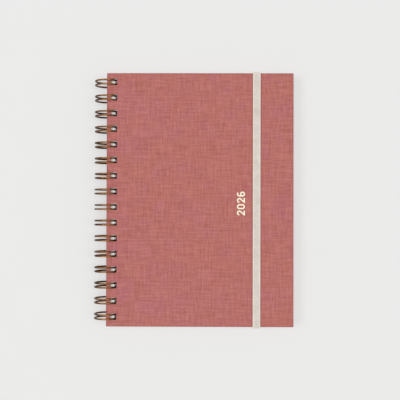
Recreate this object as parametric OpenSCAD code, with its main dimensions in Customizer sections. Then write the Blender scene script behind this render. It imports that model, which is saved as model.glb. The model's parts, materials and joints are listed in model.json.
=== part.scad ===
// Wire-bound hardcover planner, closed and lying on its back cover.
// Two cloth-covered boards and a block of loose leaves hang on one twin-loop wire,
// and an elastic band anchored in the back cover holds the planner shut.
// Millimetres. X runs from the wire to the fore-edge, Y from tail to head, Z up from the table.
// The origin is under the middle of the whole planner, on the table.

/* [Covers] */
// Width of a finished cover, from its wire edge to its fore-edge
cover_w = 151.5; // [135:0.5:180]
// Height of a finished cover, from tail to head
cover_h = 205.5; // [150:0.5:255]
// Thickness of a finished cover, cloth and paper included
cover_t = 2.5; // [2.2:0.1:2.5]
// Thickness of the book cloth
cloth_t = 0.25; // [0.2:0.05:0.3]
// Width of the cloth that is turned in round the edges of the board
turn_in = 14; // [12:1:15]
// Thickness of the paper pasted inside each cover
endpaper_t = 0.15; // [0.1:0.05:0.2]
// How far the pasted paper stops short of the edges of the cover
endpaper_inset = 2.5; // [2:0.5:3]

/* [Leaves] */
// Thickness of one leaf
leaf_t = 0.105; // [0.08:0.005:0.105]
// Distance from one leaf to the next in the closed stack
leaf_pitch = 0.113; // [0.112:0.001:0.115]
// Leaves in the section of one month
month_leaf_count = 5; // [1:1:5]
// Leaves for notes at the back
notes_leaf_count = 2; // [1:1:2]
// How far the leaves stop short of the covers at head, tail and fore-edge
leaf_margin = 3; // [2:0.5:6]

/* [Punched holes] */
// Distance from one hole to the next, two to the inch
pitch = 12.7; // [12.7:0.1:12.7]
// Size of a hole along the row of holes
hole_h = 5.3; // [5.2:0.1:6]
// Size of a hole in a cover, across the row
cover_hole_w = 5; // [4.9:0.1:5.5]
// Size of a hole in a leaf, across the row
leaf_hole_w = 4.5; // [4:0.1:5]
// Distance from the wire edge of a cover to its holes
hole_edge = 3.4; // [3.3:0.1:3.5]
// How far the whole row of holes sits above the middle of the cover
row_shift = 0.4; // [0:0.1:1]
// Least distance from the middle of the last hole to the end of the cover
row_end = 6.5; // [6:0.5:12]

/* [Wire] */
// Diameter of the wire
wire_d = 1.4; // [1:0.1:1.4]
// Outside diameter of a closed loop
loop_d = 19.8; // [19.6:0.1:20]
// Distance between the two wires of a loop
twin_gap = 3.3; // [3:0.1:3.3]
// Bend radius where a loop turns into the straight back of the wire
elbow_r = 1.2; // [1:0.1:1.3]

/* [Elastic band] */
// Width of the band
band_w = 6.3; // [5:0.1:8]
// Thickness of the band
band_t = 1; // [0.6:0.1:1]
// Distance from the fore-edge of the cover to the middle of the band
band_from_edge = 29.9; // [15:0.1:40]
// Distance from the head or tail of the back cover to the slot that the band goes through
slot_from_end = 19; // [18:1:30]
// Length of each end of the band that is glued under the paper
tail_l = 16; // [10:1:25]

/* [Year stamp] */
// Height of a digit
digit_h = 6.5; // [5:0.5:9]
// Width of a digit
digit_w = 4; // [3:0.1:5]
// Width of the strokes
stroke = 1.05; // [0.5:0.05:1.1]
// Gap between two digits
digit_gap = 1.1; // [0.5:0.05:2]
// Thickness of the foil
foil_t = 0.05; // [0.02:0.01:0.1]
// Distance from the wire edge of the cover to the feet of the digits
year_edge = 112.2; // [60:0.1:112.3]
// How far the middle of the year sits from the middle of the cover, towards the tail
year_drop = 3; // [-40:0.05:40]

/* [Hidden] */
month_names = [
    "january", "february", "march", "april", "may", "june",
    "july", "august", "september", "october", "november", "december"
];
month_nodes = [for (name = month_names) str(name, "_leaves")];

$fn = 48;
// A cutter reaches this far past the faces that it cuts.
cut = 1;

// Heights and distances below are measured from the middle of the wire loops.
wire_r = wire_d / 2;
loop_r = loop_d / 2 - wire_r;
cover_x = 0.9;
leaf_x = 3.5;
leaf_hole_x = 7.1;
outer_z = 7;
inner_z = outer_z - cover_t;
board_out_z = outer_z - cloth_t;
turn_in_z = inner_z + endpaper_t;
board_in_z = turn_in_z + cloth_t;
block_gap = 0.14;
block_top_z = inner_z - block_gap;

// The wire rests against the tail side of its holes, this far below their middles.
wire_drop = 0.2;
// The back of the wire lies in the gap between the last leaf and the back cover.
// The tips of the loops reach this far past it, into the holes of the back cover.
back_depth = 3.75;
tip_reach = 1.4;
back_angle = -asin(back_depth / loop_r);
tip_angle = back_angle - atan(tip_reach / loop_r);
elbow_angle = back_angle + atan(elbow_r / loop_r);
hairpin_r = twin_gap / 2;
hairpin_angle = tip_angle - atan(hairpin_r / loop_r);
loops = floor((cover_h - 2 * row_end) / pitch) + 1;

// The place of the middle of the loops in the planner's frame.
centre_x = (loop_d / 2 - cover_x - cover_w) / 2;
centre_z = loop_d / 2;

band_x = cover_x + cover_w - band_from_edge;
slot_y = cover_h / 2 - slot_from_end;
slot_play = 0.1;

// The wire has a station at each of these steps round a loop, and this many flat sides.
wire_step = 18;
wire_sides = 6;

digit_r = digit_w / 2;
bowl_y = digit_h - digit_r;
// The slanted stroke of a two reaches this far back into its bowl.
stroke_lap = 0.1;
// The upper bowl of a six is open from its stem to this angle.
six_open = 40;

opening_leaf_count = 2;
leaf_w = cover_x + cover_w - leaf_margin - leaf_x;
leaf_h = cover_h - 2 * leaf_margin;

function hole_y(i) = row_shift + (i - (loops - 1) / 2) * pitch;
function month_start(m) = opening_leaf_count + m * month_leaf_count;

// ---- helpers ----

// Moves what is modelled about the middle of the loops to its place.
module about_loops() {
    translate([centre_x, 0, centre_z]) children();
}

// A plate with the outline of a cover, drawn in by inset on all sides.
module cover_plate(inset, low, high) {
    translate([cover_x + inset, inset - cover_h / 2, low])
        cube([cover_w - 2 * inset, cover_h - 2 * inset, high - low]);
}

// The row of holes as a cutter.
module hole_row(x, w, low, high) {
    for (i = [0:loops - 1])
        translate([x, hole_y(i) - hole_h / 2, low - cut])
            cube([w, hole_h, high - low + 2 * cut]);
}

module cover_holes() {
    hole_row(cover_x + hole_edge, cover_hole_w, inner_z, outer_z);
}

// ---- the parts of a cover, as they lie in the front cover ----

module board() {
    difference() {
        cover_plate(cloth_t, board_in_z, board_out_z);
        cover_holes();
    }
}

// Cloth over the outside and the edges of the board, turned in over the inside.
module cloth() {
    difference() {
        cover_plate(0, turn_in_z, outer_z);
        cover_plate(cloth_t, board_in_z, board_out_z);
        cover_plate(turn_in, turn_in_z - cut, board_in_z + cloth_t);
        cover_holes();
    }
}

// Paper that lies on the turned-in cloth and steps down to the board inside it.
module endpaper() {
    difference() {
        union() {
            cover_plate(endpaper_inset, inner_z, turn_in_z);
            cover_plate(turn_in, inner_z, board_in_z);
        }
        cover_plate(turn_in + endpaper_t, inner_z - cut, board_in_z - endpaper_t);
        cover_holes();
    }
}

// The back cover is the front cover turned over about the middle of the loops.
module turned_over() {
    mirror([0, 0, 1]) children();
}

// ---- covers ----

module front_cover_board() {
    color("tan") about_loops() board();
}

module front_cover_cloth() {
    color("indianred") about_loops() cloth();
}

module front_endpaper() {
    color("ivory") about_loops() endpaper();
}

// One end of the band's path through the back cover: the slot and the bed of the glued end.
module band_bed(width, play) {
    translate([band_x - width / 2, slot_y - band_t - play, -outer_z - cut])
        cube([width, band_t + 2 * play, outer_z + cut - board_in_z]);
    translate([band_x - width / 2, slot_y - tail_l - play, -board_in_z - band_t - play])
        cube([width, tail_l + 2 * play, band_t + play + cut]);
}

module band_beds() {
    for (end = [0, 1])
        mirror([0, end, 0]) band_bed(band_w + 2 * slot_play, slot_play);
}

module back_cover_board() {
    color("tan") about_loops() difference() {
        turned_over() board();
        band_beds();
    }
}

module back_cover_cloth() {
    color("indianred") about_loops() difference() {
        turned_over() cloth();
        band_beds();
    }
}

module back_endpaper() {
    color("ivory") about_loops() turned_over() endpaper();
}

// ---- year stamp ----

// A stadium that stands on the baseline, drawn in by inset on all sides.
module stadium(inset) {
    for (y = [digit_r, bowl_y])
        translate([digit_r, y]) circle(digit_r - inset);
    translate([inset, digit_r]) square([digit_w - 2 * inset, bowl_y - digit_r]);
}

module digit_zero() {
    difference() {
        stadium(0);
        stadium(stroke);
    }
}

module digit_bowl() {
    difference() {
        circle(digit_r);
        circle(digit_r - stroke);
    }
}

// A bowl without the sector between two angles.
module open_bowl(from, to) {
    far = 2 * digit_w;
    rim = [for (k = [0:3]) let (a = from + k * (to - from) / 3) far * [cos(a), sin(a)]];
    difference() {
        digit_bowl();
        polygon(concat([[0, 0]], rim));
    }
}

// The slanted stroke leaves the bowl along its tangent and ends in the foot.
module digit_two() {
    mid_r = digit_r - stroke / 2;
    foot = [stroke / 2 - digit_r, stroke / 2 - bowl_y];
    turn = atan2(foot[1], foot[0]) + acos(mid_r / norm(foot));
    leave = mid_r * [cos(turn), sin(turn)];
    translate([digit_r, bowl_y]) {
        open_bowl(180, 360 + turn);
        translate(leave) rotate(turn - 90)
            translate([-stroke_lap, -stroke / 2]) square([norm(leave - foot) + stroke_lap, stroke]);
    }
    square([digit_w, stroke]);
}

module digit_six() {
    translate([digit_r, digit_r]) digit_bowl();
    translate([digit_r, bowl_y]) open_bowl(180, 360 + six_open);
    translate([0, digit_r]) square([stroke, bowl_y - digit_r]);
}

module year_foil() {
    year_l = 4 * digit_w + 3 * digit_gap;
    color("khaki") about_loops()
        translate([cover_x + year_edge, -year_drop - year_l / 2, outer_z])
        rotate([0, 0, 90]) for (place = [0:3])
            translate([place * (digit_w + digit_gap), 0, 0]) linear_extrude(foil_t) {
                if (place == 0 || place == 2) digit_two();
                if (place == 1) digit_zero();
                if (place == 3) digit_six();
            }
}

// ---- binding wire ----

// The wire is one bent length. A station on it is [middle, outward direction, direction of travel].

function outward(a) = [cos(a), 0, sin(a)];
function around(a) = [-sin(a), 0, cos(a)];

// A station of a round run, at angle a of a loop, in the plane y.
function round_station(a, y, sense) = [loop_r * outward(a) + [0, y, 0], outward(a), sense * around(a)];

// A station of a bend that lies flat against the loops at angle a, about a centre at y.
function bend_station(a, y, r, b, sense) = [
    loop_r * outward(a) + [0, y + r * cos(b), 0] + r * sin(b) * around(a),
    outward(a),
    sense * ([0, -sin(b), 0] + cos(b) * around(a))
];

// The angles of a round run: its two ends, and every whole step between them.
run_angles = concat(
    [elbow_angle],
    [for (a = [0:wire_step:359 + hairpin_angle]) a],
    [hairpin_angle + 360]
);

function reversed(list) = [for (k = [len(list) - 1:-1:0]) list[k]];

// Up one wire of a loop, round the hairpin and back down the other wire.
function loop_stations(y) = concat(
    [for (a = run_angles) round_station(a, y - hairpin_r, 1)],
    [for (b = [135, 90, 45]) bend_station(hairpin_angle, y, hairpin_r, b, -1)],
    [for (a = reversed(run_angles)) round_station(a, y + hairpin_r, -1)]
);

// Round an elbow, straight along the back of the wire, and round the next elbow.
function link_stations(y) = concat(
    [for (b = [210, 240, 270]) bend_station(elbow_angle, y + hairpin_r + elbow_r, elbow_r, b, 1)],
    [for (b = [270, 300, 330]) bend_station(elbow_angle, y + pitch - hairpin_r - elbow_r, elbow_r, b, 1)]
);

wire_stations = [
    for (i = [0:loops - 1])
        let (y = hole_y(i) - wire_drop)
            each concat(loop_stations(y), i < loops - 1 ? link_stations(y) : [])
];

function wire_ring(station) = [
    for (k = [0:wire_sides - 1])
        let (turn = 360 * k / wire_sides)
            station[0] + wire_r * (cos(turn) * station[1] + sin(turn) * cross(station[2], station[1]))
];

module binding_wire() {
    last = (len(wire_stations) - 1) * wire_sides;
    points = [for (station = wire_stations) each wire_ring(station)];
    start_cap = [for (k = [0:wire_sides - 1]) k];
    end_cap = [for (k = [wire_sides - 1:-1:0]) last + k];
    sides = [
        for (at = [0:wire_sides:last - 1], k = [0:wire_sides - 1])
            let (next = (k + 1) % wire_sides)
                each [
                    [at + k, at + wire_sides + k, at + wire_sides + next],
                    [at + k, at + wire_sides + next, at + next]
                ]
    ];
    color("peru") about_loops() polyhedron(points, concat([start_cap], sides, [end_cap]));
}

// ---- elastic band ----

module elastic_band() {
    y_slot = slot_y - band_t;
    color("linen") about_loops() translate([band_x, 0, 0]) {
        // the run over the front cover, down its ends and under the back cover to the slots
        translate([-band_w / 2, 0, 0]) rotate([90, 0, 90]) linear_extrude(band_w) {
            difference() {
                union() {
                    for (y = [-1, 1], z = [-1, 1])
                        translate([y * cover_h / 2, z * outer_z]) circle(band_t);
                    translate([-cover_h / 2 - band_t, -outer_z])
                        square([cover_h + 2 * band_t, 2 * outer_z]);
                    translate([-cover_h / 2, -outer_z - band_t])
                        square([cover_h, 2 * (outer_z + band_t)]);
                }
                translate([-cover_h / 2, -outer_z]) square([cover_h, 2 * outer_z]);
                translate([-y_slot, -outer_z - band_t - cut]) square([2 * y_slot, 2 * cut + band_t]);
            }
        }
        // the ends, up through the slots and flat in their beds
        for (end = [0, 1]) mirror([0, end, 0]) {
            translate([-band_w / 2, y_slot, -outer_z - band_t])
                cube([band_w, band_t, outer_z + band_t - board_in_z]);
            translate([-band_w / 2, slot_y - tail_l, -board_in_z - band_t])
                cube([band_w, tail_l, band_t]);
        }
    }
}

// ---- leaves ----

// A pack of leaves, counted down from the top of the block.
module leaves(first, count) {
    about_loops() for (k = [first:first + count - 1]) {
        top = block_top_z - k * leaf_pitch;
        difference() {
            translate([leaf_x, -leaf_h / 2, top - leaf_t]) cube([leaf_w, leaf_h, leaf_t]);
            hole_row(leaf_hole_x, leaf_hole_w, top - leaf_t, top);
        }
    }
}

module title_leaf() {
    color("white") leaves(0, 1);
}

module year_overview_leaf() {
    color("snow") leaves(1, 1);
}

module month_leaves(m) {
    color(m % 2 == 0 ? "floralwhite" : "white") leaves(month_start(m), month_leaf_count);
}

module notes_leaves() {
    color("snow") leaves(month_start(len(month_names)), notes_leaf_count);
}

front_cover_board();
front_cover_cloth();
front_endpaper();
year_foil();
back_cover_board();
back_cover_cloth();
back_endpaper();
binding_wire();
elastic_band();
title_leaf();
year_overview_leaf();
for (m = [0:len(month_names) - 1])
    month_leaves(m);
notes_leaves();
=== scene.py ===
"""A wire-bound hardcover planner, closed, seen from above as it lies on a pale floor.

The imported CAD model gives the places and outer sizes, and the sizes inside it are named as in part.scad.
This script rounds the cloth covers, sweeps the wire and the elastic band as smooth lengths, cuts the loose
leaves, and adds the materials, the light and the camera.
Lengths are in metres, and MM turns millimetres into metres.
"""
import json
import math
import random

import bpy
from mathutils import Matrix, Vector


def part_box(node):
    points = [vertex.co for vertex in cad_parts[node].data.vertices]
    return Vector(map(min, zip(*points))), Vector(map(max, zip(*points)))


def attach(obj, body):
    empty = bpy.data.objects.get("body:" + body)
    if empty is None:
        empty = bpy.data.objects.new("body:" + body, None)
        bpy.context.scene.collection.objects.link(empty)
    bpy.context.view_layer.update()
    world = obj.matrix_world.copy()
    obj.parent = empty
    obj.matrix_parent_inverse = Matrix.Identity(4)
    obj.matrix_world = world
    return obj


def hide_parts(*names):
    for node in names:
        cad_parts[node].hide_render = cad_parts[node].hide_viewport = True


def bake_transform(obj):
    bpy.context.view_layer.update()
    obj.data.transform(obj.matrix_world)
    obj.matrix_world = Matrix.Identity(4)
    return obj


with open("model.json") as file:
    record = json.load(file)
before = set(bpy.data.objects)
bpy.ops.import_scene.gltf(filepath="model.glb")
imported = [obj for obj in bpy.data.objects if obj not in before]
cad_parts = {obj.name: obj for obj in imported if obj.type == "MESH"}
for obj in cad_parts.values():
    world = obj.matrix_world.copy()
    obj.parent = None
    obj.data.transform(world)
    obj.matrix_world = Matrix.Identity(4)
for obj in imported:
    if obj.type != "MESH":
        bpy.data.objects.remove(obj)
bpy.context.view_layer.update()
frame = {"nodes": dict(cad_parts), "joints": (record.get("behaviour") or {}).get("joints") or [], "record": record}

MM = 0.001
rng = random.Random(26)

# ---------------------------------------------------------------- sizes

# The boxes of CAD nodes, each as its lowest and highest corner
front_low, front_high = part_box("front_cover_cloth")
back_low, back_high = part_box("back_cover_cloth")
wire_low, wire_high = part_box("binding_wire")
band_low, band_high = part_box("elastic_band")
title_low, title_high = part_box("title_leaf")
band_middle = (band_low + band_high) / 2
band_half_w = (band_high.x - band_low.x) / 2

# Every hinge turns about the middle of the loops. Angles round a loop are in degrees, from +X towards +Z.
hinge = next(joint for joint in frame["joints"] if joint["name"] == "front_cover_hinge")
loop_centre = Vector(hinge["pos_m"])
LOOPS = 16
PITCH = 12.7 * MM
# The wire's own radius, the radius of a loop along its middle, the distance between the two wires of a loop,
# and the bends into the straight back
WIRE_R = 0.7 * MM
LOOP_R = (wire_high.x - wire_low.x) / 2 - WIRE_R
TWIN_GAP = 3.3 * MM
ELBOW_R = 1.2 * MM
# How far the wire's straight back lies below the middle of the loops, and the loops' tips past it
BACK_DEPTH = 3.75 * MM
TIP_REACH = 1.4 * MM
BACK_ANGLE = -math.degrees(math.asin(BACK_DEPTH / LOOP_R))
TIP_ANGLE = BACK_ANGLE - math.degrees(math.atan(TIP_REACH / LOOP_R))
# How far the wire sits towards the tail in its holes
WIRE_DROP = 0.2 * MM

# How far the row of holes sits from the middle of the planner towards the head
ROW_SHIFT = 0.4 * MM
FIRST_HOLE_Y = ROW_SHIFT - (LOOPS - 1) / 2 * PITCH
# The size of a hole along the row, and its size and place across the row in a leaf
HOLE_H = 5.3 * MM
LEAF_HOLE_W = 4.5 * MM
LEAF_HOLE_X = loop_centre.x + 7.1 * MM

# Radii of the cloth's rounded edges, of its upright corners, and of every other edge
EDGE_R = 0.35 * MM
CORNER_R = 0.5 * MM
CLOTH_BEVEL = 0.07 * MM

# The thickness of a leaf, and the distance from one leaf to the next in the stack
LEAF_T = 0.105 * MM
LEAF_PITCH = 0.113 * MM
# How far the uppermost leaf leans towards the fore-edge, and the most that a leaf lies out of line
LEAN = 0.1 * MM
LEAF_BACK = 0.2 * MM
LEAF_DOWN = 0.3 * MM
LEAF_UP = 0.05 * MM

# The band, its glued ends inside the back cover, and the slots that it goes through
BAND_T = 1.0 * MM
BAND_TAIL = 16 * MM
SLOT_FROM_END = 19 * MM
# How near to a corner the band starts to bend, and how far apart its stations are on the straight runs
BAND_BEND = 0.49 * MM
BAND_STEP = 1.5 * MM
BAND_CORES = 11
RIB_DEPTH = 0.09 * MM
# The width of the painted highlight, a lighter copy of the elastic, along each edge of the band
EDGE_HIGHLIGHT_W = 1.0 * MM

# ---------------------------------------------------------------- sizes and strengths in the materials

# The cloth's threads and how far they wander, and the weave that shows through the foil
THREAD_PITCH = 0.5 * MM
THREAD_SWAY = 1.2 * MM
FOIL_WEAVE_PITCH = 0.46 * MM
# The elastic's rubber cores, and the stitches along them
CORE_PITCH = 0.7 * MM
PICK_PITCH = 0.5 * MM
# The painted shadow line beside each edge of the elastic band, and the painted shade along the covers' rounded
# edges
BAND_SHADOW_W = 0.9 * MM
BAND_SHADOW_DEPTH = 0.6
EDGE_SHADE_W = 1.1 * MM
EDGE_SHADE_DEPTH = 0.4

# The printing on the leaves
PAGE_MARGIN = 8 * MM
MONTH_HEADING = 20 * MM
FRAME_GAP = 1.6 * MM
LINE_W = 0.25 * MM
DOT_PITCH = 5 * MM
DOT_W = 0.5 * MM

# The floor glows, so that the shadows on it stay as faint as in the photo, and the paper a little with it.
FLOOR_GLOW = 0.445
PAPER_GLOW = 0.05
AIR_GLOW = 0.4
# The flat floor's radius, and that of the curve from it up into the backdrop
FLOOR_R = 3.0
COVE_R = 1.5


def hole_y(i):
    """The middle of punched hole i, counted from the tail of the planner."""
    return FIRST_HOLE_Y + i * PITCH


# ---------------------------------------------------------------- materials

def linear(r, g, b):
    """A colour given as display values from 0 to 255, as the shaders take it."""
    def channel(v):
        v /= 255
        return v / 12.92 if v <= 0.04045 else ((v + 0.055) / 1.055) ** 2.4
    return (channel(r), channel(g), channel(b), 1.0)


class Paint:
    """One procedural material, with short names for the nodes that it is built from."""

    def __init__(self, name):
        self.material = bpy.data.materials.new(name)
        self.material.use_nodes = True
        self.nodes = self.material.node_tree.nodes
        self.links = self.material.node_tree.links
        self.shader = self.nodes["Principled BSDF"]
        place = self.nodes.new("ShaderNodeTexCoord")
        split = self.nodes.new("ShaderNodeSeparateXYZ")
        self.place = place.outputs["Object"]
        self.links.new(self.place, split.inputs[0])
        self.x, self.y, self.z = split.outputs

    def feed(self, socket, value):
        """Gives a socket its value, which is a number, a colour or another node's output."""
        if isinstance(value, bpy.types.NodeSocket):
            self.links.new(value, socket)
        else:
            socket.default_value = value

    def math(self, operation, *values):
        node = self.nodes.new("ShaderNodeMath")
        node.operation = operation
        for socket, value in zip(node.inputs, values):
            self.feed(socket, value)
        return node.outputs[0]

    def add(self, first, second):
        return self.math("ADD", first, second)

    def minus(self, first, second):
        return self.math("SUBTRACT", first, second)

    def times(self, first, second):
        return self.math("MULTIPLY", first, second)

    def vector(self, x=0.0, y=0.0, z=0.0):
        node = self.nodes.new("ShaderNodeCombineXYZ")
        for socket, value in zip(node.inputs, (x, y, z)):
            self.feed(socket, value)
        return node.outputs[0]

    def noise(self, where, scale, detail=2.0, roughness=0.5):
        node = self.nodes.new("ShaderNodeTexNoise")
        self.feed(node.inputs["Vector"], where)
        node.inputs["Scale"].default_value = scale
        node.inputs["Detail"].default_value = detail
        node.inputs["Roughness"].default_value = roughness
        return node.outputs["Fac"]

    def stretched(self, x_scale, y_scale, level):
        """The surface's place for a noise that is finer along one side than along the other."""
        return self.vector(self.times(self.x, x_scale), self.times(self.y, y_scale), level)

    def spread(self, value, low, high, to_low=0.0, to_high=1.0):
        """Carries a value from the range low to high over to another range, and keeps it inside."""
        node = self.nodes.new("ShaderNodeMapRange")
        for socket, number in zip(node.inputs, (value, low, high, to_low, to_high)):
            self.feed(socket, number)
        return node.outputs[0]

    def mix(self, share, first, second):
        node = self.nodes.new("ShaderNodeMix")
        node.data_type = "RGBA"
        self.feed(node.inputs[0], share)
        self.feed(node.inputs[6], first)
        self.feed(node.inputs[7], second)
        return node.outputs[2]

    def bump(self, height, depth, strength=1.0):
        node = self.nodes.new("ShaderNodeBump")
        node.inputs["Strength"].default_value = strength
        node.inputs["Distance"].default_value = depth
        self.feed(node.inputs["Height"], height)
        self.links.new(node.outputs[0], self.shader.inputs["Normal"])

    def set(self, **values):
        """Feeds the shader's sockets, each named by its words with underscores between them."""
        for name, value in values.items():
            self.feed(self.shader.inputs[name.replace("_", " ").title()], value)


def ribs(paint, coordinate, pitch):
    """A row of round ridges across a coordinate: 0 in the furrows and 1 on the crests."""
    return paint.math("ABSOLUTE", paint.math("SINE", paint.times(coordinate, math.pi / pitch)))


def thread_index(paint, coordinate, pitch):
    """The whole number of the thread that a coordinate falls on."""
    return paint.math("FLOOR", paint.math("DIVIDE", coordinate, pitch))


def distance(paint, coordinate, middle):
    """How far a coordinate lies from a middle, on either side."""
    return paint.math("ABSOLUTE", paint.minus(coordinate, middle))


def painted_band_shadow(paint):
    """How strongly a painted shadow line darkens the cloth beside each edge of the elastic band."""
    beside = paint.minus(distance(paint, paint.x, band_middle.x), band_half_w)
    line = paint.spread(paint.math("ABSOLUTE", beside), 0.0, BAND_SHADOW_W, BAND_SHADOW_DEPTH, 0.0)
    on_front = paint.math("GREATER_THAN", paint.z, loop_centre.z)
    past_slot = paint.math("GREATER_THAN", paint.math("ABSOLUTE", paint.y), front_high.y - SLOT_FROM_END)
    return paint.times(line, paint.math("MAXIMUM", on_front, past_slot))


def painted_edge_shade(paint):
    """How strongly painted shade darkens the cloth, rising over the last stretch before a cover's edge."""
    middle, half = (front_low + front_high) / 2, (front_high - front_low) / 2
    to_side = paint.minus(half.x, distance(paint, paint.x, middle.x))
    to_end = paint.minus(half.y, distance(paint, paint.y, middle.y))
    return paint.spread(paint.math("MINIMUM", to_side, to_end), 0.0, EDGE_SHADE_W, EDGE_SHADE_DEPTH, 0.0)


def book_cloth():
    """Plain-woven cloth: uneven threads in rose and salmon that pass over and under each other."""
    paint = Paint("book_cloth")
    x = paint.add(paint.x, paint.times(paint.noise(paint.place, 80.0), THREAD_SWAY))
    y = paint.add(paint.y, paint.times(paint.noise(paint.place, 110.0), THREAD_SWAY))
    column = thread_index(paint, x, THREAD_PITCH)
    row = thread_index(paint, y, THREAD_PITCH)
    warp_up = paint.math("GREATER_THAN", paint.math("PINGPONG", paint.add(column, row), 1.0), 0.5)
    weft_up = paint.minus(1.0, warp_up)

    # The relief of the threads: each is high where it passes over the other.
    round_x = ribs(paint, x, THREAD_PITCH)
    round_y = ribs(paint, y, THREAD_PITCH)
    warp = paint.times(round_x, paint.spread(round_y, 0.0, 1.0, 0.5, 1.0))
    weft = paint.times(round_y, paint.spread(round_x, 0.0, 1.0, 0.5, 1.0))
    height = paint.add(paint.times(warp, warp_up), paint.times(weft, weft_up))

    # The tone of the threads: each has its own along its length, and thick places run across the cloth.
    along = 190.0
    lengthwise = paint.noise(paint.vector(column, paint.times(paint.y, along), 0.0), 0.83, 2.0, 0.6)
    crosswise = paint.noise(paint.vector(paint.times(paint.x, along), row, 7.0), 0.83, 2.0, 0.6)
    blend = paint.spread(paint.noise(paint.place, 900.0, 2.0, 0.7), 0.35, 0.65)
    on_top = paint.add(paint.times(blend, 0.5), paint.times(warp_up, 0.5))
    shade = paint.add(paint.times(on_top, lengthwise), paint.times(paint.minus(1.0, on_top), crosswise))
    slub = paint.add(paint.noise(paint.stretched(700.0, 60.0, 0.0), 1.0, 1.0),
                     paint.noise(paint.stretched(60.0, 700.0, 3.0), 1.0, 1.0))
    tone = paint.spread(paint.add(shade, paint.times(slub, 0.5)), 0.76, 1.24)

    # The dye: salmon with clouds of rose.
    cloud = paint.noise(paint.stretched(75.0, 62.0, 5.0), 1.0, 4.0, 0.66)
    drift = paint.noise(paint.stretched(9.0, 16.0, 2.0), 1.0, 2.0)
    flush = paint.spread(paint.add(cloud, paint.times(drift, 0.5)), 0.66, 1.0)
    dye = paint.mix(flush, linear(206, 123, 112), linear(204, 120, 128))
    dark = paint.mix(0.33, dye, linear(118, 54, 52))
    light = paint.mix(0.25, dye, linear(240, 172, 158))

    # Painted shade darkens the furrows between the threads.
    furrow = paint.spread(height, 0.0, 0.8, 0.34, 0.0)
    woven = paint.mix(furrow, paint.mix(tone, dark, light), linear(104, 46, 44))
    # Painted shade darkens the cloth along the covers' rounded edges.
    painted_light_and_grain = paint.mix(painted_edge_shade(paint), woven, linear(128, 62, 60))
    # The cloth's colour also carries the painted shadow line beside the elastic band.
    paint.set(Base_color=paint.mix(painted_band_shadow(paint), painted_light_and_grain, linear(122, 58, 54)), Roughness=0.85)
    paint.bump(paint.add(height, paint.times(shade, 0.7)), 0.14 * MM, 0.9)
    paint.shader.inputs["Sheen Weight"].default_value = 0.12
    paint.shader.inputs["Sheen Roughness"].default_value = 0.5
    paint.shader.inputs["Specular IOR Level"].default_value = 0.2
    return paint.material


def greyboard():
    """Pressed grey board: fibres, and layers that show at its edges."""
    paint = Paint("greyboard")
    fibre = paint.noise(paint.place, 2600.0, 4.0)
    layers = paint.noise(paint.vector(0.0, 0.0, paint.times(paint.z, 4200.0)), 1.0)
    tone = paint.spread(paint.add(fibre, layers), 0.7, 1.3)
    paint.set(Base_color=paint.mix(tone, linear(140, 131, 117), linear(180, 171, 156)), Roughness=0.95)
    paint.bump(fibre, 0.05 * MM, 0.6)
    return paint.material


def endpaper():
    """Cream paper with faint clouds where it is pasted down."""
    paint = Paint("endpaper")
    fibre = paint.noise(paint.place, 1400.0, 5.0, 0.6)
    cloud = paint.noise(paint.place, 60.0)
    tone = paint.spread(paint.add(fibre, paint.times(cloud, 0.35)), 0.45, 0.9)
    paint.set(Base_color=paint.mix(tone, linear(233, 226, 213), linear(242, 236, 225)), Roughness=0.9)
    paint.bump(fibre, 0.02 * MM, 0.5)
    return paint.material


def antique_brass():
    """Plated wire: dark brown finish with brass showing through in random worn patches, and a painted highlight
    that turns it brighter brass towards the crests of the loops.
    """
    paint = Paint("antique_brass")
    cloud = paint.noise(paint.place, 260.0, 4.0, 0.6)
    grain = paint.noise(paint.place, 3000.0, 2.0)
    # Painted highlight: the colour turns towards bright brass near the tops of the loops, added to the grain's
    # random wear.
    crest = paint.spread(paint.z, front_high.z - 0.5 * MM, wire_high.z, 0.0, 0.3)
    painted_light_and_grain = paint.add(crest, paint.times(grain, 0.3))
    wear_and_highlight = paint.spread(paint.add(cloud, painted_light_and_grain), 0.6, 1.0)
    paint.set(
        Base_color=paint.mix(wear_and_highlight, linear(68, 41, 23), linear(176, 124, 76)),
        Roughness=paint.spread(grain, 0.3, 0.7, 0.26, 0.42),
        Metallic=1.0,
    )
    paint.bump(grain, 0.01 * MM, 0.4)
    return paint.material


def foil():
    """Pale hot-stamped foil, pressed into the cloth so that the weave shows through it."""
    paint = Paint("foil")
    weave = paint.times(ribs(paint, paint.x, FOIL_WEAVE_PITCH), ribs(paint, paint.y, FOIL_WEAVE_PITCH))
    speck = paint.noise(paint.place, 2200.0, 3.0)
    tone = paint.spread(speck, 0.35, 0.6)
    paint.set(Base_color=paint.mix(tone, linear(251, 240, 206), linear(255, 250, 228)), Roughness=0.5)
    paint.bump(paint.add(weave, speck), 0.03 * MM, 0.6)
    return paint.material


def elastic(name, low, high):
    """Woven elastic: stitches in slanting pairs over rubber cores, in tones from low to high."""
    paint = Paint(name)
    cores = ribs(paint, paint.x, CORE_PITCH)
    core = thread_index(paint, paint.x, CORE_PITCH)
    way = paint.spread(paint.math("PINGPONG", core, 1.0), 0.0, 1.0, -1.0, 1.0)
    slanted = paint.add(paint.y, paint.times(paint.x, way))
    picks = ribs(paint, slanted, PICK_PITCH)
    knit = paint.times(paint.spread(cores, 0.0, 1.0, 0.4, 1.0), picks)
    speck = paint.noise(paint.place, 1700.0, 3.0)
    cloud = paint.noise(paint.place, 120.0)
    tone = paint.spread(paint.add(speck, paint.times(cloud, 0.6)), 0.55, 1.05)
    # Painted shade darkens the furrows between the stitches.
    furrow = paint.spread(knit, 0.0, 0.7, 0.18, 0.0)
    yarn = paint.mix(tone, low, high)
    paint.set(Base_color=paint.mix(furrow, yarn, linear(136, 124, 112)), Roughness=0.85)
    paint.bump(paint.add(knit, paint.times(speck, 0.4)), 0.12 * MM, 0.9)
    paint.shader.inputs["Sheen Weight"].default_value = 0.2
    return paint.material


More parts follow.
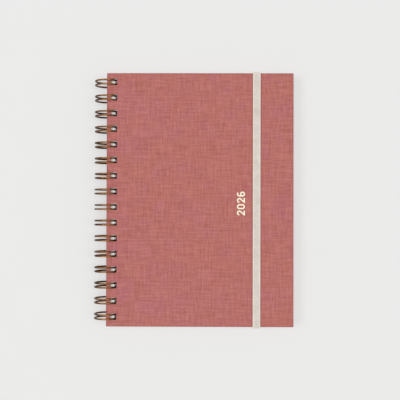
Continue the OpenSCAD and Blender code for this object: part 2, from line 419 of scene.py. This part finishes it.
def rule(paint, coordinate, pitch, width):
    """Lines across a coordinate, one at every whole pitch: 1 on a line and 0 between lines."""
    from_line = paint.math("FRACT", paint.add(paint.math("DIVIDE", coordinate, pitch), 0.5))
    return paint.math("LESS_THAN", distance(paint, from_line, 0.5), width / 2 / pitch)


def between(paint, coordinate, low, high):
    """1 where a coordinate lies between low and high, and 0 elsewhere."""
    return paint.times(paint.math("GREATER_THAN", coordinate, low), paint.math("LESS_THAN", coordinate, high))


def grid(paint, x, y, columns, rows, width, height):
    """A ruled grid that fills a field of the given width and height, with its corner at x = y = 0."""
    upright = rule(paint, x, width / columns, LINE_W)
    level = rule(paint, y, height / rows, LINE_W)
    in_width = between(paint, x, -LINE_W / 2, width + LINE_W / 2)
    in_height = between(paint, y, -LINE_W / 2, height + LINE_W / 2)
    return paint.times(paint.math("MAXIMUM", upright, level), paint.times(in_width, in_height))


def print_frame(paint, x, y, width, height):
    """A frame of two lines."""
    outer = grid(paint, x, y, 1, 1, width, height)
    inner = grid(paint, paint.minus(x, FRAME_GAP), paint.minus(y, FRAME_GAP), 1, 1,
                 width - 2 * FRAME_GAP, height - 2 * FRAME_GAP)
    return paint.math("MAXIMUM", outer, inner)


def print_year(paint, x, y, width, height):
    """Twelve small month fields, three across and four down."""
    step_x, step_y = width / 3, height / 4
    gap, wide, high = 0.06, 0.88, 0.74
    in_x = paint.minus(paint.math("FLOORED_MODULO", x, step_x), step_x * gap)
    in_y = paint.minus(paint.math("FLOORED_MODULO", y, step_y), step_y * gap)
    field = paint.times(between(paint, x, 0.0, width), between(paint, y, 0.0, height))
    return paint.times(grid(paint, in_x, in_y, 7, 6, step_x * wide, step_y * high), field)


def print_month(paint, x, y, width, height):
    """A month at a glance: seven days across and five weeks down, under a heading."""
    return grid(paint, x, y, 7, 5, width, height - MONTH_HEADING)


def print_weeks(paint, x, y, width, height):
    """A week on a page: a strong rule for each day, and faint writing lines between."""
    days = grid(paint, x, y, 1, 7, width, height)
    writing = grid(paint, x, y, 1, 28, width, height)
    return paint.math("MAXIMUM", days, paint.times(writing, 0.35))


def print_notes(paint, x, y, width, height):
    """A field of dots."""
    dots = paint.times(rule(paint, x, DOT_PITCH, DOT_W), rule(paint, y, DOT_PITCH, DOT_W))
    in_width = between(paint, x, -DOT_W, width + DOT_W)
    in_height = between(paint, y, -DOT_W, height + DOT_W)
    return paint.times(dots, paint.times(in_width, in_height))


def leaf_paper(name, printing):
    """Uncoated paper with its ruling printed inside margins that keep clear of the punched holes."""
    paint = Paint(name)
    fibre = paint.noise(paint.place, 1500.0, 5.0, 0.6)
    tone = paint.spread(fibre, 0.3, 0.7)
    paper = paint.mix(tone, linear(246, 244, 238), linear(253, 252, 248))
    left, bottom = LEAF_HOLE_X + LEAF_HOLE_W + PAGE_MARGIN, title_low.y + PAGE_MARGIN
    width, height = title_high.x - PAGE_MARGIN - left, title_high.y - PAGE_MARGIN - bottom
    x = paint.minus(paint.x, left)
    y = paint.minus(paint.y, bottom)
    ink = paint.times(printing(paint, x, y, width, height), 0.75)
    paint.set(Base_color=paint.mix(ink, paper, linear(150, 132, 126)), Roughness=0.9)
    paint.shader.inputs["Emission Color"].default_value = (1.0, 0.99, 0.96, 1.0)
    paint.shader.inputs["Emission Strength"].default_value = PAPER_GLOW
    paint.bump(fibre, 0.015 * MM, 0.4)
    return paint.material


def floor_paint():
    """A pale sheet that glows a little."""
    paint = Paint("studio_floor")
    cloud = paint.noise(paint.place, 30.0)
    paint.set(Base_color=paint.mix(cloud, linear(166, 166, 165), linear(168, 168, 167)), Roughness=0.95)
    paint.shader.inputs["Emission Color"].default_value = (1.0, 1.0, 1.0, 1.0)
    paint.shader.inputs["Emission Strength"].default_value = FLOOR_GLOW
    paint.shader.inputs["Specular IOR Level"].default_value = 0.0
    return paint.material


CLOTH = book_cloth()
BOARD = greyboard()
ENDPAPER = endpaper()
BRASS = antique_brass()
FOIL = foil()
ELASTIC = elastic("elastic", linear(220, 208, 198), linear(240, 231, 222))
# A lighter copy of the elastic: a painted highlight along the band's two edges
BAND_EDGE_HIGHLIGHT = elastic("elastic_edge_highlight", linear(233, 223, 210), linear(251, 245, 234))
PAPERS = {
    "title_leaf": [leaf_paper("title_paper", print_frame)],
    "year_overview_leaf": [leaf_paper("year_paper", print_year)],
    "notes_leaves": [leaf_paper("notes_paper", print_notes)],
}
MONTH_PAPERS = [leaf_paper("month_paper", print_month), leaf_paper("week_paper", print_weeks)]


def dress(obj, material):
    """Gives an object one material in place of those that it has."""
    obj.data.materials.clear()
    obj.data.materials.append(material)
    return obj


# ---------------------------------------------------------------- mesh helpers

def piece_from(name, vertices, faces, material, smooth=True):
    """A new object of one material, made of vertices and faces."""
    mesh = bpy.data.meshes.new(name)
    mesh.from_pydata(vertices, [], faces)
    mesh.update()
    obj = bpy.data.objects.new(name, mesh)
    bpy.context.scene.collection.objects.link(obj)
    for polygon in mesh.polygons:
        polygon.use_smooth = smooth
    return dress(obj, material)


def apply_modifiers(obj):
    """Keeps the mesh that an object's modifiers make, and removes the modifiers."""
    view = bpy.context.evaluated_depsgraph_get()
    mesh = bpy.data.meshes.new_from_object(obj.evaluated_get(view))
    obj.modifiers.clear()
    obj.data = mesh


def tube_faces(rings, count):
    """The faces of a tube of rings with count vertices each, and of the flat caps at its two ends."""
    faces = [
        (s * count + k, s * count + (k + 1) % count, (s + 1) * count + (k + 1) % count, (s + 1) * count + k)
        for s in range(rings - 1) for k in range(count)
    ]
    faces.append(tuple(reversed(range(count))))
    faces.append(tuple((rings - 1) * count + k for k in range(count)))
    return faces


def sweep(stations, outline):
    """Vertices and faces of an outline carried along stations.

    A station is (middle, across, out): the outline's first number runs along across, its second along out.
    """
    vertices = [m + a * u + o * v for m, a, o in stations for u, v in outline]
    return vertices, tube_faces(len(stations), len(outline))


# ---------------------------------------------------------------- covers

def rounded_slab(name, low, high):
    """A plate with rounded upper and lower edges and rounded upright corners."""
    steps = 5
    corners = [(1, 1, 0), (-1, 1, 90), (-1, -1, 180), (1, -1, 270)]

    def outline(inset):
        points = []
        r = max(CORNER_R - inset, 0.05 * MM)
        for side_x, side_y, start in corners:
            x = (high.x if side_x > 0 else low.x) - side_x * (inset + r)
            y = (high.y if side_y > 0 else low.y) - side_y * (inset + r)
            for k in range(steps + 1):
                a = math.radians(start + 90 * k / steps)
                points.append((x + r * math.cos(a), y + r * math.sin(a)))
        return points

    levels = []
    for k in range(steps, -1, -1):
        a = math.radians(90 * k / steps)
        levels.append((low.z + EDGE_R * (1 - math.sin(a)), EDGE_R * (1 - math.cos(a))))
    levels += [(high.z + low.z - z, inset) for z, inset in levels[::-1]]
    vertices = [Vector((x, y, z)) for z, inset in levels for x, y in outline(inset)]
    return piece_from(name, vertices, tube_faces(len(levels), len(vertices) // len(levels)), CLOTH)


def cloth_cover(node, name, body):
    """The CAD cloth with its outer edges rounded: what it shares with a rounded slab of the same size."""
    low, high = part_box(node)
    obj = bpy.data.objects.new(name, frame["nodes"][node].data.copy())
    bpy.context.scene.collection.objects.link(obj)
    dress(obj, CLOTH)

    # The slab reaches past the inner face of the cover, so that only the outer edges are rounded.
    past = Vector((0, 0, 2 * MM))
    if body == "front_cover":
        slab = rounded_slab("slab", low - past, high)
    else:
        slab = rounded_slab("slab", low, high + past)
    cutter = obj.modifiers.new("round", "BOOLEAN")
    cutter.operation = "INTERSECT"
    cutter.solver = "EXACT"
    cutter.object = slab
    apply_modifiers(obj)
    bpy.data.objects.remove(slab)

    soften = obj.modifiers.new("soften", "BEVEL")
    soften.width = CLOTH_BEVEL
    soften.segments = 2
    soften.limit_method = "ANGLE"
    soften.angle_limit = math.radians(50)
    apply_modifiers(obj)
    for polygon in obj.data.polygons:
        polygon.use_smooth = True
    obj.data.set_sharp_from_angle(angle=math.radians(40))
    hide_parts(node)
    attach(obj, body)


cloth_cover("front_cover_cloth", "front_cloth", "front_cover")
cloth_cover("back_cover_cloth", "back_cloth", "back_cover")
for side in ("front", "back"):
    dress(frame["nodes"][f"{side}_cover_board"], BOARD)
    dress(frame["nodes"][f"{side}_endpaper"], ENDPAPER)
dress(frame["nodes"]["year_foil"], FOIL)


# ---------------------------------------------------------------- binding wire

def outward(a):
    """The direction away from the middle of a loop at angle a."""
    return Vector((math.cos(math.radians(a)), 0, math.sin(math.radians(a))))


def around(a):
    """The direction along a loop at angle a, towards greater angles."""
    return Vector((-math.sin(math.radians(a)), 0, math.cos(math.radians(a))))


def wire_station(middle, out, travel):
    """A station where the wire travels in a direction, with out pointing away from the loops."""
    return middle, travel.cross(out), out


def round_station(a, y, sense):
    """A station of a round run of wire, at angle a of a loop."""
    middle = loop_centre + LOOP_R * outward(a) + Vector((0, y, 0))
    return wire_station(middle, outward(a), sense * around(a))


def bend_station(a, y, r, b, sense):
    """A station of a bend that lies flat against the loops at angle a."""
    sin_b, cos_b = math.sin(math.radians(b)), math.cos(math.radians(b))
    middle = loop_centre + LOOP_R * outward(a) + Vector((0, y + r * cos_b, 0)) + r * sin_b * around(a)
    return wire_station(middle, outward(a), sense * (Vector((0, -sin_b, 0)) + cos_b * around(a)))


def angles(start, end, step):
    """Evenly spread angles from start to end, no further apart than step."""
    count = math.ceil(abs(end - start) / step)
    return [start + (end - start) * k / count for k in range(count + 1)]


def wire_stations():
    """The wire from tail to head: round a loop, through its closed end, back round, and on to the next."""
    hairpin_r = TWIN_GAP / 2
    elbow_angle = BACK_ANGLE + math.degrees(math.atan(ELBOW_R / LOOP_R))
    hairpin_angle = TIP_ANGLE - math.degrees(math.atan(hairpin_r / LOOP_R))
    run = angles(elbow_angle, hairpin_angle + 360, 5)
    stations = []
    for i in range(LOOPS):
        y = hole_y(i) - WIRE_DROP
        stations += [round_station(a, y - hairpin_r, 1) for a in run]
        stations += [bend_station(hairpin_angle, y, hairpin_r, b, -1) for b in angles(180, 0, 15)[1:-1]]
        stations += [round_station(a, y + hairpin_r, -1) for a in reversed(run)]
        if i < LOOPS - 1:
            first = y + hairpin_r + ELBOW_R
            second = y + PITCH - hairpin_r - ELBOW_R
            stations += [bend_station(elbow_angle, first, ELBOW_R, b, 1) for b in angles(180, 270, 15)[1:]]
            stations += [bend_station(elbow_angle, second, ELBOW_R, b, 1) for b in angles(270, 360, 15)[:-1]]
    return stations


def round_outline(r, sides):
    """A circle, in an outline's order."""
    turns = [2 * math.pi * k / sides for k in range(sides)]
    return [(r * math.sin(t), r * math.cos(t)) for t in turns]


wire = piece_from("wire", *sweep(wire_stations(), round_outline(WIRE_R, 14)), BRASS)
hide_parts("binding_wire")
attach(wire, "back_cover")


# ---------------------------------------------------------------- elastic band

def band_stations():
    """The band's path as the middle of its thickness: bed, slot, back, end, front and the same again."""
    half = BAND_T / 2
    slot_y = front_high.y - SLOT_FROM_END - half
    tail_y = slot_y - BAND_TAIL + half
    end_y = front_high.y + half
    bed_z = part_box("back_cover_board")[1].z - half
    low_z, high_z = back_low.z - half, front_high.z + half
    corners = [
        Vector((band_middle.x, y, z)) for y, z in (
            (tail_y, bed_z), (slot_y, bed_z), (slot_y, low_z), (end_y, low_z), (end_y, high_z),
            (-end_y, high_z), (-end_y, low_z), (-slot_y, low_z), (-slot_y, bed_z), (-tail_y, bed_z),
        )
    ]
    points = [corners[0]]
    for before, here, after in zip(corners, corners[1:], corners[2:]):
        back = (before - here).normalized() * BAND_BEND
        on = (after - here).normalized() * BAND_BEND
        points += [here + back * (1 - k / 6) ** 2 + on * (k / 6) ** 2 for k in range(7)]
    points.append(corners[-1])

    path = [points[0]]
    for a, b in zip(points, points[1:]):
        count = max(1, round((b - a).length / BAND_STEP))
        path += [a + (b - a) * k / count for k in range(1, count + 1)]
    across = Vector((1, 0, 0))
    befores, afters = path[:1] + path[:-1], path[1:] + path[-1:]
    return [
        (here, across, across.cross((after - before).normalized()))
        for before, here, after in zip(befores, path, afters)
    ]


def band_outline():
    """A flat section with rounded edges, ribbed by the rubber cores on both sides."""
    edge = BAND_T / 2
    flat = band_half_w - edge
    per_core = 6
    count = BAND_CORES * per_core
    half = []
    for k in range(count + 1):
        furrow = 1 - abs(math.sin(math.pi * k / per_core))
        half.append((-flat + 2 * flat * k / count, edge - RIB_DEPTH * furrow))
    for k in range(1, 8):
        a = math.radians(90 - 180 * k / 8)
        half.append((flat + edge * math.cos(a), (edge - RIB_DEPTH) * math.sin(a)))
    return half + [(-u, -v) for u, v in half]


band = piece_from("band", *sweep(band_stations(), band_outline()), ELASTIC)
band.data.materials.append(BAND_EDGE_HIGHLIGHT)
# Faces near either edge of the band take the lighter copy, a painted highlight.
edge_highlight_from = band_half_w - EDGE_HIGHLIGHT_W
for polygon in band.data.polygons:
    if min(abs(band.data.vertices[v].co.x - band_middle.x) for v in polygon.vertices) > edge_highlight_from:
        polygon.material_index = 1
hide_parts("elastic_band")
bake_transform(band)


# ---------------------------------------------------------------- leaves

def leaf(vertices, faces, low, high, shift):
    """Adds one punched leaf: a thin closed plate with a row of holes beside its left edge."""
    xs = [low.x, LEAF_HOLE_X, LEAF_HOLE_X + LEAF_HOLE_W, high.x]
    ys = [low.y]
    for i in range(LOOPS):
        ys += [hole_y(i) - HOLE_H / 2, hole_y(i) + HOLE_H / 2]
    ys.append(high.y)
    base = len(vertices)
    for z in (low.z, high.z):
        for y in ys:
            for x in xs:
                vertices.append(Vector((x, y, z)) + shift)
    layer = len(ys) * len(xs)

    def at(i, j, top):
        return base + top * layer + j * len(xs) + i

    def solid(i, j):
        inside = 0 <= i < len(xs) - 1 and 0 <= j < len(ys) - 1
        return inside and not (i == 1 and j % 2 == 1)

    # The way to each neighbour of a patch, and the two corners of the wall that closes it where there is none
    walls = [
        (-1, 0, (0, 1), (0, 0)), (1, 0, (1, 0), (1, 1)),
        (0, -1, (0, 0), (1, 0)), (0, 1, (1, 1), (0, 1)),
    ]
    for j in range(len(ys) - 1):
        for i in range(len(xs) - 1):
            if not solid(i, j):
                continue
            faces.append((at(i, j, 1), at(i + 1, j, 1), at(i + 1, j + 1, 1), at(i, j + 1, 1)))
            faces.append((at(i, j + 1, 0), at(i + 1, j + 1, 0), at(i + 1, j, 0), at(i, j, 0)))
            for di, dj, a, b in walls:
                if not solid(i + di, j + dj):
                    faces.append((at(i + a[0], j + a[1], 0), at(i + b[0], j + b[1], 0),
                                  at(i + b[0], j + b[1], 1), at(i + a[0], j + a[1], 1)))


def leaves(node, name, body):
    """The loose leaves of one section, each a little out of line with the next."""
    low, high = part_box(node)
    count = round((high.z - low.z - LEAF_T) / LEAF_PITCH) + 1
    block_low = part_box("notes_leaves")[0].z
    papers = PAPERS.get(node, MONTH_PAPERS)
    vertices, faces, first_faces = [], [], []
    for k in range(count):
        top = high.z - k * LEAF_PITCH
        lean = LEAN * (top - block_low) / (title_high.z - block_low)
        shift = Vector((lean + rng.uniform(-LEAF_BACK, 0.0), rng.uniform(-LEAF_DOWN, LEAF_UP), 0))
        first_faces.append(len(faces))
        leaf(vertices, faces, Vector((low.x, low.y, top - LEAF_T)), Vector((high.x, high.y, top)), shift)
    obj = piece_from(name, vertices, faces, papers[0], smooth=False)
    if len(papers) > 1:
        obj.data.materials.append(papers[1])
        for polygon in obj.data.polygons[first_faces[1]:]:
            polygon.material_index = 1
    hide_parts(node)
    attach(obj, body)


for body, nodes in frame["record"]["behaviour"]["bodies"].items():
    for node in nodes:
        if node.endswith(("_leaves", "_leaf")):
            leaves(node, node.replace("_leaves", "_pages").replace("_leaf", "_page"), body)


# ---------------------------------------------------------------- studio and camera

def studio():
    """A round pale floor that curves up into its own backdrop, under three large soft lights."""
    sides = 48
    turns = [2 * math.pi * k / sides for k in range(sides)]
    rings = [(1.0, 0.0), (FLOOR_R, 0.0)]
    rings += [(FLOOR_R + COVE_R * math.sin(a), COVE_R * (1 - math.cos(a)))
              for a in (math.radians(15 * k) for k in range(1, 7))]
    vertices = [Vector((r * math.cos(t), r * math.sin(t), z)) for r, z in rings for t in turns]
    faces = [tuple(range(sides))]
    for ring in range(len(rings) - 1):
        near, far = ring * sides, (ring + 1) * sides
        faces += [(near + k, far + k, far + (k + 1) % sides, near + (k + 1) % sides) for k in range(sides)]
    piece_from("floor", vertices, faces, floor_paint())

    world = bpy.data.worlds.new("studio_air")
    world.use_nodes = True
    background = world.node_tree.nodes["Background"]
    background.inputs["Color"].default_value = (1.0, 1.0, 1.0, 1.0)
    background.inputs["Strength"].default_value = AIR_GLOW
    bpy.context.scene.world = world

    def softbox(name, at, size, power):
        light = bpy.data.lights.new(name, "AREA")
        light.shape = "SQUARE"
        light.size = size
        light.energy = power
        obj = bpy.data.objects.new(name, light)
        obj.location = at
        obj.rotation_euler = (-Vector(at)).to_track_quat("-Z", "Y").to_euler()
        bpy.context.scene.collection.objects.link(obj)

    softbox("key", Vector((-1.05, 0.0, 1.95)), 0.7, 11.6)
    softbox("fill", Vector((1.1, 0.0, 1.8)), 0.7, 6.8)
    softbox("overhead", Vector((0.05, 0.0, 2.4)), 1.2, 15.2)
    bpy.context.scene.view_settings.view_transform = "Standard"


def photo_camera():
    """The camera above the planner, at the photo's angle."""
    data = bpy.data.cameras.new("camera")
    data.sensor_width = 36.0
    data.lens = 63.0
    camera = bpy.data.objects.new("camera", data)
    camera.location = (9.8 * MM, -8.2 * MM, 583.7 * MM)
    camera.rotation_euler = (math.radians(0.806), math.radians(0.436), math.radians(0.149))
    bpy.context.scene.collection.objects.link(camera)
    bpy.context.scene.camera = camera


studio()
photo_camera()
